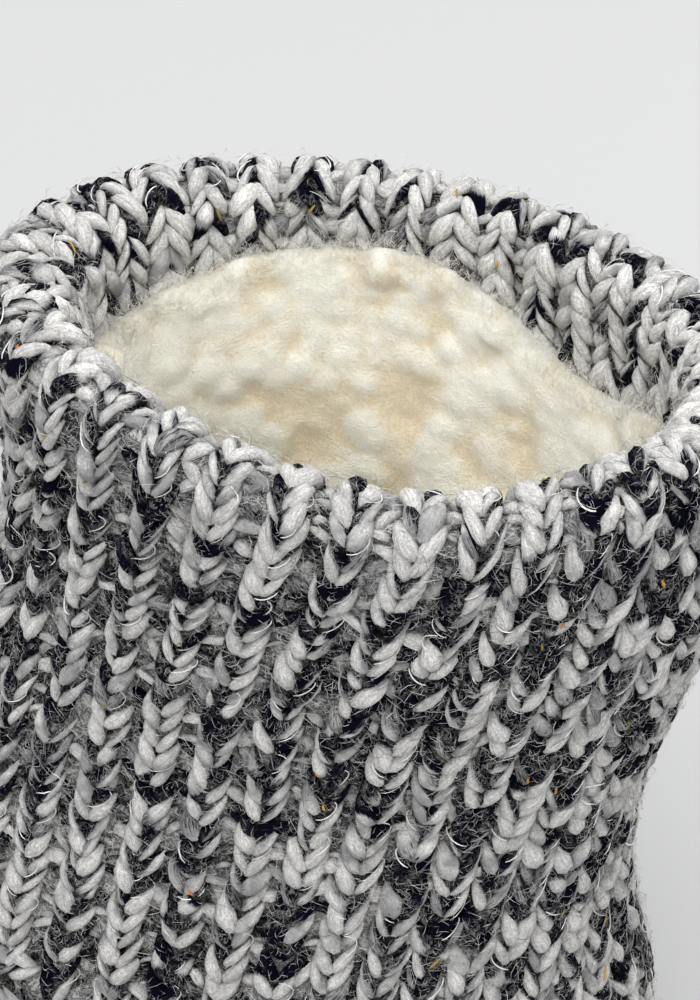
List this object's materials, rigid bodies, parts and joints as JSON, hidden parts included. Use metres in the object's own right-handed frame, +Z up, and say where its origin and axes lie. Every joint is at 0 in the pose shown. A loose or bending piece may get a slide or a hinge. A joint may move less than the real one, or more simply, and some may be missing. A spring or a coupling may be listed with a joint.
{
  "type": "slipper bootie",
  "caption": "Ankle-high slipper bootie with a chunky rib-knit upper folded in at the collar, a deep fleece lining, an insole and a flat soft sole.",
  "frame": {"origin": "on the floor, under the middle of the bootie's box", "axes": "+X towards the toe, +Y towards the wearer's left (the outer side), +Z up"},
  "size_m": [0.2588, 0.1028, 0.1572],
  "materials": {
    "soft_rubber": "matt",
    "fleece": "tufted pile",
    "knit_wool": "marled rib knit"
  },
  "bodies": {
    "root": {"outsole": "soft_rubber", "insole": "fleece", "upper": "knit_wool", "lining": "fleece"}
  },
  "joints": []
}
